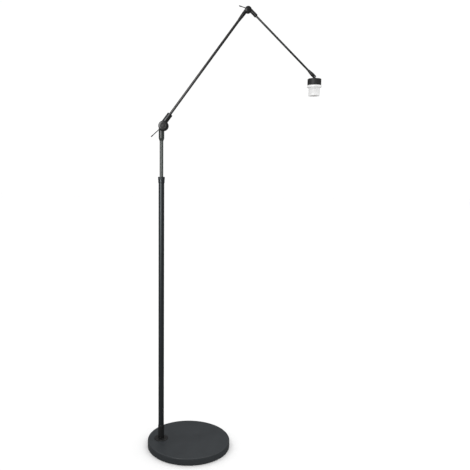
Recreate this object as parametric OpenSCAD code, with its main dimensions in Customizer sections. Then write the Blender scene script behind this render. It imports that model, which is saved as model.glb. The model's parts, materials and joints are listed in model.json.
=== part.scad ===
// Pharmacy floor lamp: a round weighted base, a telescopic pole off the base's centre, two slim arms
// with clamp knuckles and tommy-bar levers, and a tilting cup with a screw lampholder.
// Millimetres. The origin is the base's centre on the floor, +X runs from the pole towards the head,
// +Z is up, and the arms fold in the XZ plane.

/* [Base] */
// Radius of the round base
base_r = 150; // [140:1:160]
// Height of the base's top face above the floor
base_h = 25; // [24.5:0.5:30]
// Thickness of the sheet steel of the base cover
cover_wall = 1.2; // [1:0.1:1.5]
// Radius of the cover's rounded top edge
cover_edge = 3; // [2.5:0.1:3.5]
// Thickness of the cast ballast
ballast_h = 12; // [11:0.5:12.5]
// Distance of the pole's axis from the base's centre
pole_offset = 101.5; // [95:0.5:105]

/* [Pole] */
// Outer radius of the lower tube
lower_tube_r = 10; // [9.8:0.1:10.3]
// Wall of the lower tube
lower_tube_wall = 1.2; // [1:0.1:1.2]
// Height of the lower tube's top end
lower_tube_top = 965; // [950:1:980]
// Outer radius of the upper tube
upper_tube_r = 6.4; // [6.2:0.1:6.6]
// Wall of the upper tube
upper_tube_wall = 1.2; // [1:0.1:1.4]
// Height of the upper tube's bottom end, inside the lower tube
upper_tube_bottom = 597; // [590:1:620]
// Outer radius of the clamp nut on the pole
collar_r = 11.8; // [11.5:0.1:12.2]

/* [Lower knuckle] */
// Height of the lower pivot
low_pivot_z = 1158.6; // [1155:0.1:1200]
// Distance of the lower pivot from the mast's axis
low_off = 6.9; // [6.8:0.1:7.2]
// Radius of the lower knuckle's discs
low_disc_r = 17.6; // [17.4:0.1:18]
// Thickness of the lower knuckle's back half
low_half = 11.5; // [11:0.1:12]
// Thickness of the lower knuckle's front half
low_front_half = 9.5; // [9.5:0.1:10]
// Outer radius of the lower knuckle's sleeves
low_sleeve_r = 9.7; // [9.5:0.1:9.8]
// Angle of the first arm from straight up, leaning towards the head
low_fold = 36.4; // [-30:0.1:100]

/* [First arm] */
// Distance of the lower pivot from the first arm's axis
arm1_off = 5.2; // [5:0.1:5.6]
// Length of the first arm between its two pivots, along its tube
arm1_len = 482.6; // [420:0.1:540]
// Outer radius of the first arm's tube
arm1_r = 4.5; // [4.3:0.1:4.7]
// Wall of the first arm's tube
arm1_wall = 1; // [0.8:0.1:1]

/* [Upper knuckle] */
// Distance of the upper pivot from the first arm's axis
high_off = 4.1; // [3.9:0.1:4.4]
// Radius of the upper knuckle's discs
high_disc_r = 11.4; // [11.2:0.1:11.8]
// Thickness of the upper knuckle's back half
high_half = 9; // [8.8:0.1:9.4]
// Thickness of the upper knuckle's front half
high_front_half = 6.4; // [6.4:0.1:6.8]
// Outer radius of the upper knuckle's sleeves
high_sleeve_r = 6.4; // [6.2:0.1:6.6]
// Angle of the second arm from the first arm's direction
high_fold = 97.9; // [-10:0.1:148]

/* [Second arm] */
// Distance of the upper pivot from the second arm's axis
arm2_off = 4.6; // [4.4:0.1:4.9]
// Length of the second arm from the upper pivot to the head's pivot, along its tube
arm2_len = 318.8; // [280:0.1:360]
// Outer radius of the second arm's tube
arm2_r = 3.4; // [3.3:0.1:3.5]
// Wall of the second arm's tube
arm2_wall = 0.8; // [0.6:0.1:0.8]

/* [Levers] */
// Length of the lower lever from its pivot
low_lever_len = 57.5; // [50:0.5:60]
// Direction of the lower lever, from straight up towards the head
low_lever_angle = -132.5; // [-140:0.5:-110]
// Radius of the lower lever's rod
low_rod_r = 1.6; // [1.4:0.05:1.7]
// Length of the upper lever from its pivot
high_lever_len = 33.5; // [32:0.5:40]
// Direction of the upper lever, from straight up towards the head
high_lever_angle = -72; // [-90:0.5:-60]
// Radius of the upper lever's rod
high_rod_r = 1.45; // [1.3:0.05:1.5]

/* [Head] */
// Outer radius of the head's cup
cup_r = 23.25; // [22.5:0.25:24]
// Height of the head's cup
cup_h = 21.8; // [21:0.1:23]
// Distance from the head's pivot down to the cup's top
cup_drop = 6.7; // [6.7:0.1:7.5]
// Outer radius of the lampholder's skirt
skirt_r = 19; // [18.8:0.1:19.5]
// Distance from the head's pivot down to the skirt's lower rim
skirt_drop = 63.9; // [62:0.1:66]
// Outer radius of the shade ring
shade_ring_r = 24.7; // [24:0.1:25.5]
// Radius of the bore that takes the bulb's screw cap
bulb_r = 13.4; // [13.3:0.05:13.5]

/* [Hidden] */
$fn = 96;
play = 0.05;                  // radial clearance of a running or threaded fit
pad_h = 2;                    // floor pad
plate_h = 1.5;                // bottom plate
cover_foot = 1.2;             // height of the cover's lower edge above the floor
plate_r = base_r - cover_wall - 0.4;
ballast_r = base_r - cover_wall - 0.6;
ballast_top = base_h - cover_wall - 0.1;
ballast_low = ballast_top - ballast_h;
plate_top = pad_h + plate_h;
pole_at = [-pole_offset, 0, 0];

boss_ring_r = 120;            // bosses under the ballast that take the bottom plate's screws
boss_r = 7;
screw_r = 1.65;
screw_head_r = 3.8;
earth_at = [-101.5, 34, 0];
gland_z = 7.6;                // height of the cord gland's axis
gland_r = 3.9;
gland_bore_r = 3.1;

flange_r = 25.25;             // flange at the pole's foot
flange_h = 2.2;
foot_sleeve_r = 11;
foot_sleeve_h = 50;
stud_r = 4.95;
stud_low = 12.6;
nut_low = 12.8;
nut_h = 6;
washer_h = 1.4;
pocket_top = nut_low + nut_h + washer_h;
tube_low = base_h + flange_h + 0.2;
plug_h = 24;
lower_tube_in = lower_tube_r - lower_tube_wall;

cable_r = 2.6;                // sheathed cable inside the pole
cable_run_z = 7.2;
cable_bend = 6;
block_x = [24, 42];           // terminal block, measured from the pole's axis
block_y = 15;

collar_low = lower_tube_top - 3.3;
collar_split = lower_tube_top + 7.4;
neck_top = lower_tube_top + 14;
neck_r = collar_r - 1.9;
collar_top = lower_tube_top + 18.3;
collet_r = 8.95;
bush_low = upper_tube_bottom + 3;
bush_h = 16;
ring_h = 2;
upper_tube_in = upper_tube_r - upper_tube_wall;
upper_tube_top = low_pivot_z - low_disc_r - 2;

joint_gap = 0.4;              // half thickness of the friction washer
swing_gap = 0.5;              // room round the other half's disc
low_reach = 51;               // from the lower pivot to the mast sleeve's mouth
low_tip = 8;                  // length of the mast sleeve's taper
arm1_low_reach = 46.3;
arm1_high_reach = 46;
high_tip = 24;                // length of the elbow sleeve's taper
arm2_low_reach = 35.1;
mast_screw_z = 39;            // set screws, measured from the pivots
arm1_screw_z = 34;
elbow_screw_z = 19;
arm2_screw_z = 23;
low_bolt_r = 2.97;
high_bolt_r = 2.47;
low_back = joint_gap + low_half;
low_front = joint_gap + low_front_half;
high_back = joint_gap + high_half;
high_front = joint_gap + high_front_half;
spring_h = 0.8;               // spring washer under a lever's hub
low_hub_r = 16.8;             // a lever's hub is a clamp disc in front of its knuckle
high_hub_r = 9.6;
low_hub_h = 4.3;
high_hub_h = 3.8;
rod_grip = 4.1;               // length of a lever's rod inside its hub
wire_r = 1;

fitting_cone = 30;            // start of the end fitting's cone, from the head's pivot
fitting_full = 13.5;
fitting_r = 6;
fitting_end = 3.2;            // flat end of the fitting, beyond the head's pivot
slot_half = 2.2;
pivot_screw_r = 1.5;
head_wall = 1.6;
cup_top = -cup_drop;
cup_low = cup_top - cup_h;
cup_top_wall = 3;
hinge_step = 1.5;
stub_r = 4.95;
stub_low = cup_top - 13;
dome_top = cup_top - 6.8;
dome_low = cup_low - 0.6;
shade_ring_h = 6.5;
ring_top = cup_low - 0.7;
ring_low = ring_top - shade_ring_h;
skirt_low = -skirt_drop;
skirt_in = skirt_r - 2;
skirt_top = cup_top - 15.5;
insert_low = cup_low - 3.5;
shell_low = skirt_low + 4;
skirt_mouth_r = 15;
contact_r = 4;                // centre contact, let into the insert

low_pivot = [-pole_offset + low_off, 0, low_pivot_z];
function swing(v, a) = [v.x * cos(a) + v.z * sin(a), v.y, v.z * cos(a) - v.x * sin(a)];
high_pivot = low_pivot + swing([high_off - arm1_off, 0, arm1_len], low_fold);
head_pivot = high_pivot + swing([-arm2_off, 0, arm2_len], low_fold + high_fold);

black_paint = [0.16, 0.17, 0.18];
dark_paint = [0.11, 0.11, 0.12];
bare_steel = [0.62, 0.63, 0.65];
white_plastic = [0.94, 0.94, 0.93];

// ---------- places ----------

module at_pole(z = 0) {
    translate(pole_at + [0, 0, z]) children();
}

// The first arm's own frame: the lower pivot is its origin, the arm runs up +Z at x = -arm1_off
module at_arm1() {
    translate(low_pivot) rotate([0, low_fold, 0]) children();
}

// The upper pivot, still turned with the first arm
module at_elbow() {
    at_arm1() translate([high_off - arm1_off, 0, arm1_len]) children();
}

// The second arm's own frame: the upper pivot is its origin, the arm runs up +Z at x = -arm2_off
module at_arm2() {
    translate(high_pivot) rotate([0, low_fold + high_fold, 0]) children();
}

module at_head() {
    translate(head_pivot) children();
}

// ---------- shared shapes ----------

module tube(r_out, r_in, low, high) {
    translate([0, 0, low])
        difference() {
            cylinder(r = r_out, h = high - low);
            translate([0, 0, -1]) cylinder(r = r_in, h = high - low + 2);
        }
}

module rod(r, low, high) {
    translate([0, 0, low]) cylinder(r = r, h = high - low);
}

// A cylinder along Y between two values of y
module cross_rod(r, y0, y1) {
    translate([0, y1, 0]) rotate([90, 0, 0]) cylinder(r = r, h = y1 - y0);
}

// Half outline of a disc whose top edge is rounded
module rounded_outline(r, h, edge) {
    square([r, h - edge]);
    square([r - edge, h]);
    translate([r - edge, h - edge]) circle(r = edge);
}

module rounded_disc(r, h, edge) {
    rotate_extrude()
        intersection() {
            rounded_outline(r, h, edge);
            square([r + 1, h + 1]);
        }
}

module hexagon(across, low, high) {
    translate([0, 0, low]) cylinder(r = across / 2 / cos(30), h = high - low, $fn = 6);
}

// Half of a clamp knuckle at its pivot, the origin. The disc lies on the +Y side and the sleeve for
// the tube runs up +Z with its axis at x = -off and tapers to tip_r over its last tip millimetres. The
// other half's disc turns in the room cut below y = gap. A pocket in the outer face takes the bolt's head
module knuckle_half(disc_r, half, gap, sleeve_r, off, reach, tip, tip_r, tube_r, bolt_r, screw_z, pocket) {
    edge = disc_r / 10;
    tube_from = disc_r + 2;
    face = gap + half;
    difference() {
        union() {
            translate([0, gap, 0]) rotate([-90, 0, 0]) rounded_disc(disc_r, half, edge);
            translate([-off, 0, 0]) cylinder(r = sleeve_r, h = reach - tip);
            translate([-off, 0, reach - tip]) cylinder(r1 = sleeve_r, r2 = tip_r, h = tip);
        }
        cross_rod(disc_r + swing_gap, -face - 5, gap);
        cross_rod(bolt_r + play, 0, face + 1);
        translate([-off, 0, tube_from - 0.3]) cylinder(r = tube_r + play, h = reach);
        translate([-off, 0, disc_r]) cylinder(r = tube_r / 2, h = reach);
        translate([-off, 0, screw_z]) cross_rod(1.55, 0, sleeve_r + 1);
        if (pocket)
            translate([0, face - 4, 0]) rotate([-90, 0, 0]) hexagon(bolt_r * 3.5, 0, 6);
    }
}

// The clamp bolt: its hexagon sits in the back half and its shank runs to the front, towards -Y
module clamp_bolt(bolt_r, face, front) {
    cross_rod(bolt_r, -front, face - 3.9);
    translate([0, face - 3.9, 0]) rotate([-90, 0, 0]) hexagon(bolt_r * 3.5 - 0.2, 0, 3.7);
}

module bolt_cap(r, face) {
    translate([0, face, 0]) rotate([-90, 0, 0]) rounded_disc(r, 1.8, 1);
}

module spring_washer(r, bolt_r, face) {
    translate([0, -face - 0.1, 0]) rotate([90, 0, 0])
        difference() {
            tube(r, bolt_r + play, 0, spring_h - 0.1);
            translate([bolt_r, -0.3, -1]) cube([r, 0.6, 4]);
        }
}

// A lever's hub: a disc with a sunk ring in its face, a blind bore for the bolt and a bore in its rim
module lever_hub(r, h, bolt_r, rod_r, face) {
    translate([0, -face - spring_h - 0.1, 0]) rotate([90, 0, 0])
        difference() {
            rounded_disc(r, h, 1.1);
            translate([0, 0, -1]) cylinder(r = bolt_r + play, h = h - 0.2);
            translate([0, r - rod_grip - 0.1, h / 2]) rotate([-90, 0, 0]) cylinder(r = rod_r + 0.03, h = rod_grip + 1);
            translate([0, 0, h - 0.6]) tube(r * 0.54, r * 0.32, 0, 2);
        }
}

// The lever's rod points up +Z from its hub's rim before it is turned to its own direction
module lever_rod(r, h, rod_r, face, length) {
    translate([0, -face - spring_h - 0.1 - h / 2, 0])
        rod(rod_r, r - rod_grip, length - 5);
}

module lever_tip(h, rod_r, face, length) {
    tip_r = rod_r + 0.45;
    translate([0, -face - spring_h - 0.1 - h / 2, 0])
        difference() {
            union() {
                rod(tip_r, length - 9, length - tip_r);
                translate([0, 0, length - tip_r]) sphere(r = tip_r);
            }
            rod(rod_r + 0.02, length - 10, length - 4.9);
        }
}

module friction_washer(r, bolt_r) {
    difference() {
        cross_rod(r, -joint_gap, joint_gap);
        cross_rod(bolt_r + play, -joint_gap - 1, joint_gap + 1);
    }
}

// Set screw in the back of a sleeve at height z, pressing on a tube of radius tube_r
module set_screw(off, z, tube_r, sleeve_r) {
    translate([-off, 0, z])
        difference() {
            cross_rod(1.5, tube_r + play, sleeve_r - 0.2);
            translate([0, sleeve_r - 1.4, 0]) rotate([-90, 0, 0]) hexagon(1.5, 0, 3);
        }
}

module wire_pair(x, apart, low, high) {
    for (side = [-1, 1])
        translate([x, side * apart, 0]) rod(wire_r, low, high);
}

// ---------- base ----------

module boss_places() {
    for (a = [45 : 90 : 315])
        translate([boss_ring_r * cos(a), boss_ring_r * sin(a), 0]) children();
}

module floor_pad() {
    color([0.10, 0.10, 0.10])
        difference() {
            cylinder(r = base_r - 4, h = pad_h);
            boss_places() rod(screw_head_r + 1.2, -1, pad_h + 1);
        }
}

module bottom_plate() {
    color(bare_steel)
        difference() {
            rod(plate_r, pad_h, plate_top);
            boss_places() rod(screw_r + 0.5, 0, plate_top + 1);
        }
}

module bottom_plate_screws() {
    color(bare_steel)
        boss_places()
            difference() {
                union() {
                    rod(screw_head_r, pad_h - 1.6, pad_h);
                    rod(screw_r, pad_h, ballast_low);
                }
                for (a = [0, 90])
                    rotate([0, 0, a]) translate([-2.2, -0.4, pad_h - 2]) cube([4.4, 0.8, 1.4]);
            }
}

module ballast() {
    color([0.23, 0.23, 0.24])
        difference() {
            union() {
                translate([0, 0, ballast_low]) rounded_disc(ballast_r, ballast_h, 2);
                boss_places() rod(boss_r, plate_top + 0.1, ballast_low + 1);
            }
            boss_places() rod(screw_r + play, 0, ballast_low + 1.5);
            at_pole() rod(stud_r + 0.35, 0, base_h);
            at_pole() rod(13, 0, pocket_top);
            translate(earth_at) rod(screw_r + play, 0, ballast_low + 6);
        }
}

module base_cover() {
    color(black_paint)
        difference() {
            translate([0, 0, cover_foot]) rounded_disc(base_r, base_h - cover_foot, cover_edge);
            rounded_disc(base_r - cover_wall, base_h - cover_wall, cover_edge - cover_wall);
            at_pole() rod(stud_r + 0.35, 0, base_h + 1);
            translate([0, 0, gland_z]) cross_rod(gland_r + 0.1, base_r - 10, base_r + 10);
        }
}

module cord_gland() {
    color(dark_paint)
        translate([0, base_r, gland_z])
            difference() {
                union() {
                    cross_rod(gland_r, -7, 0);
                    rotate([-90, 0, 0]) rounded_disc(gland_r + 1.3, 2.2, 0.7);
                }
                cross_rod(gland_bore_r, -8, 3);
            }
}

module terminal_block() {
    color([0.88, 0.87, 0.82])
        at_pole()
            difference() {
                union() {
                    translate([block_x[0], -block_y, ballast_low - 4])
                        cube([block_x[1] - block_x[0], 2 * block_y, 3.9]);
                    for (i = [-1 : 1])
                        translate([block_x[0] + 2, i * 10 - 3.8, plate_top + 0.3])
                            cube([block_x[1] - block_x[0] - 4, 7.6, 4.6]);
                }
                for (i = [-1 : 1]) {
                    translate([block_x[0] - 1, i * 10, 7.4]) rotate([0, 90, 0]) cylinder(r = 1.6, h = 22);
                    for (x = [block_x[0] + 5, block_x[1] - 5])
                        translate([x, i * 10, 0]) cylinder(r = 1.5, h = 7);
                }
            }
}

module terminal_screws() {
    color(bare_steel)
        at_pole()
            for (i = [-1 : 1])
                for (x = [block_x[0] + 5, block_x[1] - 5])
                    translate([x, i * 10, plate_top + 0.8])
                        difference() {
                            cylinder(r = 1.45, h = 2);
                            translate([-1.2, -0.25, -1]) cube([2.4, 0.5, 1.6]);
                        }
}

module earth_screw() {
    color([0.74, 0.66, 0.30])
        translate(earth_at)
            difference() {
                union() {
                    rod(screw_head_r, ballast_low - 3.2, ballast_low - 0.8);
                    rod(screw_r, ballast_low - 1, ballast_low + 5.5);
                }
                translate([-4, -0.5, ballast_low - 4]) cube([8, 1, 1.8]);
            }
}

module foot_flange() {
    color(black_paint)
        at_pole(base_h)
            difference() {
                rounded_disc(flange_r, flange_h, 1.2);
                rod(stud_r + 0.3, -1, flange_h + 1);
            }
}

module foot_sleeve() {
    color(dark_paint)
        at_pole(base_h + flange_h)
            difference() {
                rounded_disc(foot_sleeve_r, foot_sleeve_h, 0.6);
                rod(lower_tube_r + play, -1, foot_sleeve_h + 1);
            }
}

module pole_stud() {
    color(bare_steel)
        at_pole() tube(stud_r, 3.2, stud_low, base_h + 24);
}

module pole_nut() {
    color(bare_steel)
        at_pole()
            difference() {
                hexagon(17, nut_low, nut_low + nut_h);
                rod(stud_r + play, 0, base_h);
            }
}

module pole_washer() {
    color(bare_steel)
        at_pole() tube(11.5, stud_r + 0.2, nut_low + nut_h, pocket_top);
}

module tube_plug() {
    color(bare_steel)
        at_pole() tube(lower_tube_in - play, stud_r + play, tube_low, tube_low + plug_h);
}

module lower_tube() {
    color(black_paint)
        at_pole() tube(lower_tube_r, lower_tube_in, tube_low, lower_tube_top);
}

// The cable leaves the terminal block, bends up under the pole and stops short of the sliding mast
module pole_cable() {
    color([0.13, 0.13, 0.13])
        at_pole() {
            rod(cable_r, cable_run_z + cable_bend, upper_tube_bottom - 127);
            translate([cable_bend, 0, cable_run_z + cable_bend]) rotate([-90, 0, 0]) rotate([0, 0, 90])
                rotate_extrude(angle = 90) translate([cable_bend, 0]) circle(r = cable_r);
            translate([cable_bend, 0, cable_run_z]) rotate([0, 90, 0])
                cylinder(r = cable_r, h = block_x[0] - cable_bend - 0.2);
        }
}

// ---------- pole clamp ----------

module collar_body() {
    color(dark_paint)
        at_pole()
            difference() {
                union() {
                    rod(collar_r - 0.6, collar_low, collar_split);
                    rod(neck_r, collar_split - 1, neck_top);
                }
                rod(lower_tube_r + play, collar_low - 1, lower_tube_top + 0.1);
                rod(collet_r + play, lower_tube_top, neck_top + 1);
            }
}

module collet() {
    color(white_plastic)
        at_pole()
            difference() {
                union() {
                    rod(collet_r, lower_tube_top + 0.3, neck_top - 1);
                    translate([0, 0, neck_top - 1]) cylinder(r1 = collet_r, r2 = collet_r - 0.9, h = 0.9);
                }
                rod(upper_tube_r + play, lower_tube_top, neck_top + 1);
                translate([0, -0.6, lower_tube_top]) cube([12, 1.2, 20]);
            }
}

module collar_nut() {
    grips = 18;
    color(dark_paint)
        at_pole()
            difference() {
                translate([0, 0, collar_split + 0.3])
                    rounded_disc(collar_r, collar_top - collar_split - 0.3, 1.2);
                rod(neck_r + play, 0, neck_top + 0.3);
                rod(upper_tube_r + 0.4, 0, collar_top + 1);
                for (i = [0 : grips - 1])
                    rotate([0, 0, i * 360 / grips])
                        translate([collar_r + 0.7, 0, collar_split + 1.6])
                            cylinder(r = 1, h = collar_top - collar_split - 3.6);
            }
}

module guide_bush() {
    color([0.30, 0.30, 0.31])
        at_pole() tube(lower_tube_in - 0.08, upper_tube_r + play, bush_low, bush_low + bush_h);
}

// ---------- mast ----------

module upper_tube() {
    color(black_paint)
        at_pole() tube(upper_tube_r, upper_tube_in, upper_tube_bottom, upper_tube_top);
}

module retaining_rings() {
    color(bare_steel)
        at_pole()
            for (z = [bush_low - ring_h - 0.2, bush_low + bush_h + 0.2])
                tube(upper_tube_r + 1.6, upper_tube_r + 0.02, z, z + ring_h);
}

module mast_wires() {
    color([0.35, 0.22, 0.12])
        at_pole() wire_pair(0, 1.3, upper_tube_bottom + 2, upper_tube_top - 2);
}

module mast_knuckle() {
    color(dark_paint)
        translate(low_pivot) mirror([0, 0, 1])
            knuckle_half(low_disc_r, low_half, joint_gap + 0.05, low_sleeve_r, low_off, low_reach,
                         low_tip, upper_tube_r + 0.7, upper_tube_r, low_bolt_r, mast_screw_z, true);
}

module mast_set_screw() {
    color(bare_steel)
        translate(low_pivot) mirror([0, 0, 1]) set_screw(low_off, mast_screw_z, upper_tube_r, low_sleeve_r);
}

module lower_bolt() {
    color(bare_steel)
        translate(low_pivot) clamp_bolt(low_bolt_r, low_back, low_front + spring_h + low_hub_h - 1.4);
}

module lower_bolt_cap() {
    color(dark_paint)
        translate(low_pivot) bolt_cap(9, low_back + 0.05);
}

module lower_spring_washer() {
    color(bare_steel)
        translate(low_pivot) spring_washer(5.8, low_bolt_r, low_front);
}

// ---------- lower lever ----------

module at_low_lever() {
    translate(low_pivot) rotate([0, low_lever_angle, 0]) children();
}

module lower_lever_hub() {
    color(dark_paint) at_low_lever() lever_hub(low_hub_r, low_hub_h, low_bolt_r, low_rod_r, low_front);
}

module lower_lever_rod() {
    color(dark_paint) at_low_lever() lever_rod(low_hub_r, low_hub_h, low_rod_r, low_front, low_lever_len);
}

module lower_lever_tip() {
    color(dark_paint) at_low_lever() lever_tip(low_hub_h, low_rod_r, low_front, low_lever_len);
}

// ---------- first arm ----------

module lower_arm_knuckle() {
    color(dark_paint)
        at_arm1() mirror([0, 1, 0])
            knuckle_half(low_disc_r, low_front_half, joint_gap, low_sleeve_r, arm1_off, arm1_low_reach,
                         1.5, low_sleeve_r - 0.7, arm1_r, low_bolt_r, arm1_screw_z, false);
}

module lower_friction_washer() {
    color([0.20, 0.19, 0.17])
        at_arm1() friction_washer(low_disc_r - 2, low_bolt_r);
}

module lower_arm_tube() {
    color(black_paint)
        at_arm1() translate([-arm1_off, 0, 0])
            tube(arm1_r, arm1_r - arm1_wall, low_disc_r + 2, arm1_len - high_disc_r - 2);
}

module lower_arm_set_screws() {
    color(bare_steel) {
        at_arm1() mirror([0, 1, 0]) set_screw(arm1_off, arm1_screw_z, arm1_r, low_sleeve_r);
        at_elbow() mirror([0, 0, 1]) set_screw(high_off, elbow_screw_z, arm1_r, high_sleeve_r);
    }
}

module lower_arm_wires() {
    color([0.16, 0.24, 0.45])
        at_arm1() wire_pair(-arm1_off, 1.2, low_disc_r + 3, arm1_len - high_disc_r - 3);
}

module elbow_knuckle() {
    color(dark_paint)
        at_elbow() mirror([0, 0, 1])
            knuckle_half(high_disc_r, high_half, joint_gap + 0.05, high_sleeve_r, high_off, arm1_high_reach,
                         high_tip, arm1_r + 0.45, arm1_r, high_bolt_r, elbow_screw_z, true);
}

module upper_bolt() {
    color(bare_steel)
        at_elbow() clamp_bolt(high_bolt_r, high_back, high_front + spring_h + high_hub_h - 1.4);
}

module upper_bolt_cap() {
    color(dark_paint) at_elbow() bolt_cap(7, high_back + 0.05);
}

module upper_spring_washer() {
    color(bare_steel) at_elbow() spring_washer(4.5, high_bolt_r, high_front);
}

// ---------- upper lever ----------

module at_high_lever() {
    translate(high_pivot) rotate([0, high_lever_angle, 0]) children();
}

module upper_lever_hub() {
    color(dark_paint) at_high_lever() lever_hub(high_hub_r, high_hub_h, high_bolt_r, high_rod_r, high_front);
}

module upper_lever_rod() {
    color(dark_paint) at_high_lever() lever_rod(high_hub_r, high_hub_h, high_rod_r, high_front, high_lever_len);
}

module upper_lever_tip() {
    color(dark_paint) at_high_lever() lever_tip(high_hub_h, high_rod_r, high_front, high_lever_len);
}

// ---------- second arm ----------

module upper_arm_knuckle() {
    color(dark_paint)
        at_arm2() mirror([0, 1, 0])
            knuckle_half(high_disc_r, high_front_half, joint_gap, high_sleeve_r, arm2_off, arm2_low_reach,
                         1.2, high_sleeve_r - 0.5, arm2_r, high_bolt_r, arm2_screw_z, false);
}

module upper_friction_washer() {
    color([0.20, 0.19, 0.17])
        at_arm2() friction_washer(high_disc_r - 1.5, high_bolt_r);
}

module upper_arm_tube() {
    color(black_paint)
        at_arm2() translate([-arm2_off, 0, 0])
            tube(arm2_r, arm2_r - arm2_wall, high_disc_r + 2, arm2_len - 14);
}

module upper_arm_set_screws() {
    color(bare_steel)
        at_arm2() {
            mirror([0, 1, 0]) set_screw(arm2_off, arm2_screw_z, arm2_r, high_sleeve_r);
            set_screw(arm2_off, arm2_len - 17, arm2_r, 5);
        }
}

module upper_arm_wires() {
    color([0.16, 0.24, 0.45])
        at_arm2() wire_pair(-arm2_off, 1.1, high_disc_r + 3, arm2_len - 15);
}

// The end of the second arm: a cone that grows to a blunt, slotted end about the head's pivot
module head_fitting() {
    color(dark_paint)
        at_arm2() translate([-arm2_off, 0, arm2_len])
            difference() {
                union() {
                    translate([0, 0, -fitting_cone])
                        cylinder(r1 = arm2_r + 0.7, r2 = fitting_r, h = fitting_cone - fitting_full);
                    translate([0, 0, -fitting_full])
                        rounded_disc(fitting_r, fitting_full + fitting_end, 1.2);
                }
                rod(arm2_r + play, -fitting_cone - 1, -13.9);
                rod(2, -15, -4);
                translate([-10, -slot_half, -5.2]) cube([20, 2 * slot_half, 20]);
                cross_rod(pivot_screw_r + play, -8, 8);
                cross_rod(2.85, -8, -4.2);
                translate([0, 0, -17]) cross_rod(1.55, 0, 8);
            }
}

module head_pivot_screw() {
    color(bare_steel)
        at_arm2() translate([-arm2_off, 0, arm2_len])
            difference() {
                union() {
                    cross_rod(pivot_screw_r, -4.7, 5.2);
                    cross_rod(2.75, -5.8, -4.25);
                }
                translate([0, -4.9, 0]) rotate([90, 0, 0]) hexagon(2, 0, 2);
            }
}

// ---------- head ----------

// Flat lug under the pivot, a shoulder let into the cup and a hollow threaded stub inside it
module head_hinge() {
    lug_r = 4;
    lug_half = 3.2;
    color(dark_paint)
        at_head()
            difference() {
                union() {
                    cross_rod(lug_r, -2, 2);
                    translate([-lug_half, -2, cup_top - 0.5]) cube([2 * lug_half, 4, cup_drop + 0.5]);
                    rod(6.5, cup_top - hinge_step, cup_top + 0.05);
                    rod(stub_r, stub_low, cup_top - 1);
                }
                cross_rod(pivot_screw_r + play, -3, 3);
                rod(3, stub_low - 1, cup_top - 1.6);
            }
}

module head_cup() {
    color(dark_paint)
        at_head()
            difference() {
                translate([0, 0, cup_low]) rounded_disc(cup_r, cup_h, 2);
                translate([0, 0, cup_low - 3]) rounded_disc(cup_r - head_wall, cup_h, 2);
                rod(6.6, cup_top - hinge_step - 0.05, cup_top + 1);
                rod(stub_r + play, cup_top - 6, cup_top);
            }
}

module hinge_nut() {
    color(bare_steel)
        at_head()
            difference() {
                hexagon(14, cup_top - cup_top_wall - 3.2, cup_top - cup_top_wall - 0.1);
                rod(stub_r + play, cup_top - 10, cup_top);
            }
}

module holder_dome() {
    color(white_plastic)
        at_head()
            difference() {
                translate([0, 0, dome_low]) rounded_disc(cup_r - head_wall - 0.5, dome_top - dome_low, 3);
                rod(skirt_r - 0.4, dome_low - 1, dome_top - 3);
                rod(stub_r + play, dome_low, dome_top + 1);
            }
}

module holder_skirt() {
    color(white_plastic)
        at_head()
            difference() {
                union() {
                    rod(skirt_r - 0.5, ring_low - 1, skirt_top);
                    rod(skirt_r, skirt_low, ring_low - play);
                }
                rod(skirt_in, shell_low - 0.4, skirt_top + 1);
                rod(skirt_mouth_r, skirt_low - 1, shell_low);
            }
}

module shade_ring() {
    grips = 24;
    color(white_plastic)
        at_head()
            difference() {
                translate([0, 0, ring_top]) mirror([0, 0, 1])
                    rounded_disc(shade_ring_r, shade_ring_h, 1.2);
                rod(skirt_r + play, -100, 0);
                for (i = [0 : grips - 1])
                    rotate([0, 0, i * 360 / grips])
                        translate([shade_ring_r + 0.9, 0, cup_low - 10]) cylinder(r = 1.4, h = 20);
            }
}

module holder_insert() {
    color([0.90, 0.89, 0.85])
        at_head()
            difference() {
                rod(skirt_in - 0.1, insert_low, cup_low + 6.5);
                for (side = [-1, 1])
                    translate([side * 10, 0, cup_low + 1]) cylinder(r = 2.4, h = 10);
                rod(2.5, insert_low - 1, cup_low + 3);
                rod(contact_r + 0.3, insert_low - 1, insert_low + 1.4);
            }
}

module screw_shell() {
    color([0.80, 0.68, 0.38])
        at_head() tube(bulb_r + 0.5, bulb_r, shell_low, insert_low - 0.1);
}

module centre_contact() {
    color([0.80, 0.68, 0.38])
        at_head() {
            rod(2.4, insert_low + 0.5, cup_low + 2.8);
            translate([0, 0, insert_low + 0.2]) rounded_disc(contact_r, 1.1, 0.4);
        }
}

floor_pad();
bottom_plate();
bottom_plate_screws();
ballast();
base_cover();
cord_gland();
terminal_block();
terminal_screws();
earth_screw();
foot_flange();
foot_sleeve();
pole_stud();
pole_nut();
pole_washer();
tube_plug();
lower_tube();
pole_cable();
collar_body();
collet();
collar_nut();
guide_bush();
upper_tube();
retaining_rings();
mast_wires();
mast_knuckle();
mast_set_screw();
lower_bolt();
lower_bolt_cap();
lower_spring_washer();
lower_lever_hub();
lower_lever_rod();
lower_lever_tip();
lower_arm_knuckle();
lower_friction_washer();
lower_arm_tube();
lower_arm_set_screws();
lower_arm_wires();
elbow_knuckle();
upper_bolt();
upper_bolt_cap();
upper_spring_washer();
upper_lever_hub();
upper_lever_rod();
upper_lever_tip();
upper_arm_knuckle();
upper_friction_washer();
upper_arm_tube();
upper_arm_set_screws();
upper_arm_wires();
head_fitting();
head_pivot_screw();
head_hinge();
head_cup();
hinge_nut();
holder_dome();
holder_skirt();
shade_ring();
holder_insert();
screw_shell();
centre_contact();
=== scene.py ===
"""Looks of a pharmacy floor lamp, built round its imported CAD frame.

Shapes are drawn in millimetres in the same local frames as the CAD: the pole's foot, each arm with its
lower pivot as the origin and its tube running up +Z, and the head with its hinge as the origin. Every
piece is then placed in the row frame, in metres, and rides on its CAD body.
"""

import json
import math

import bmesh
import bpy
from mathutils import Matrix, Vector


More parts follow.
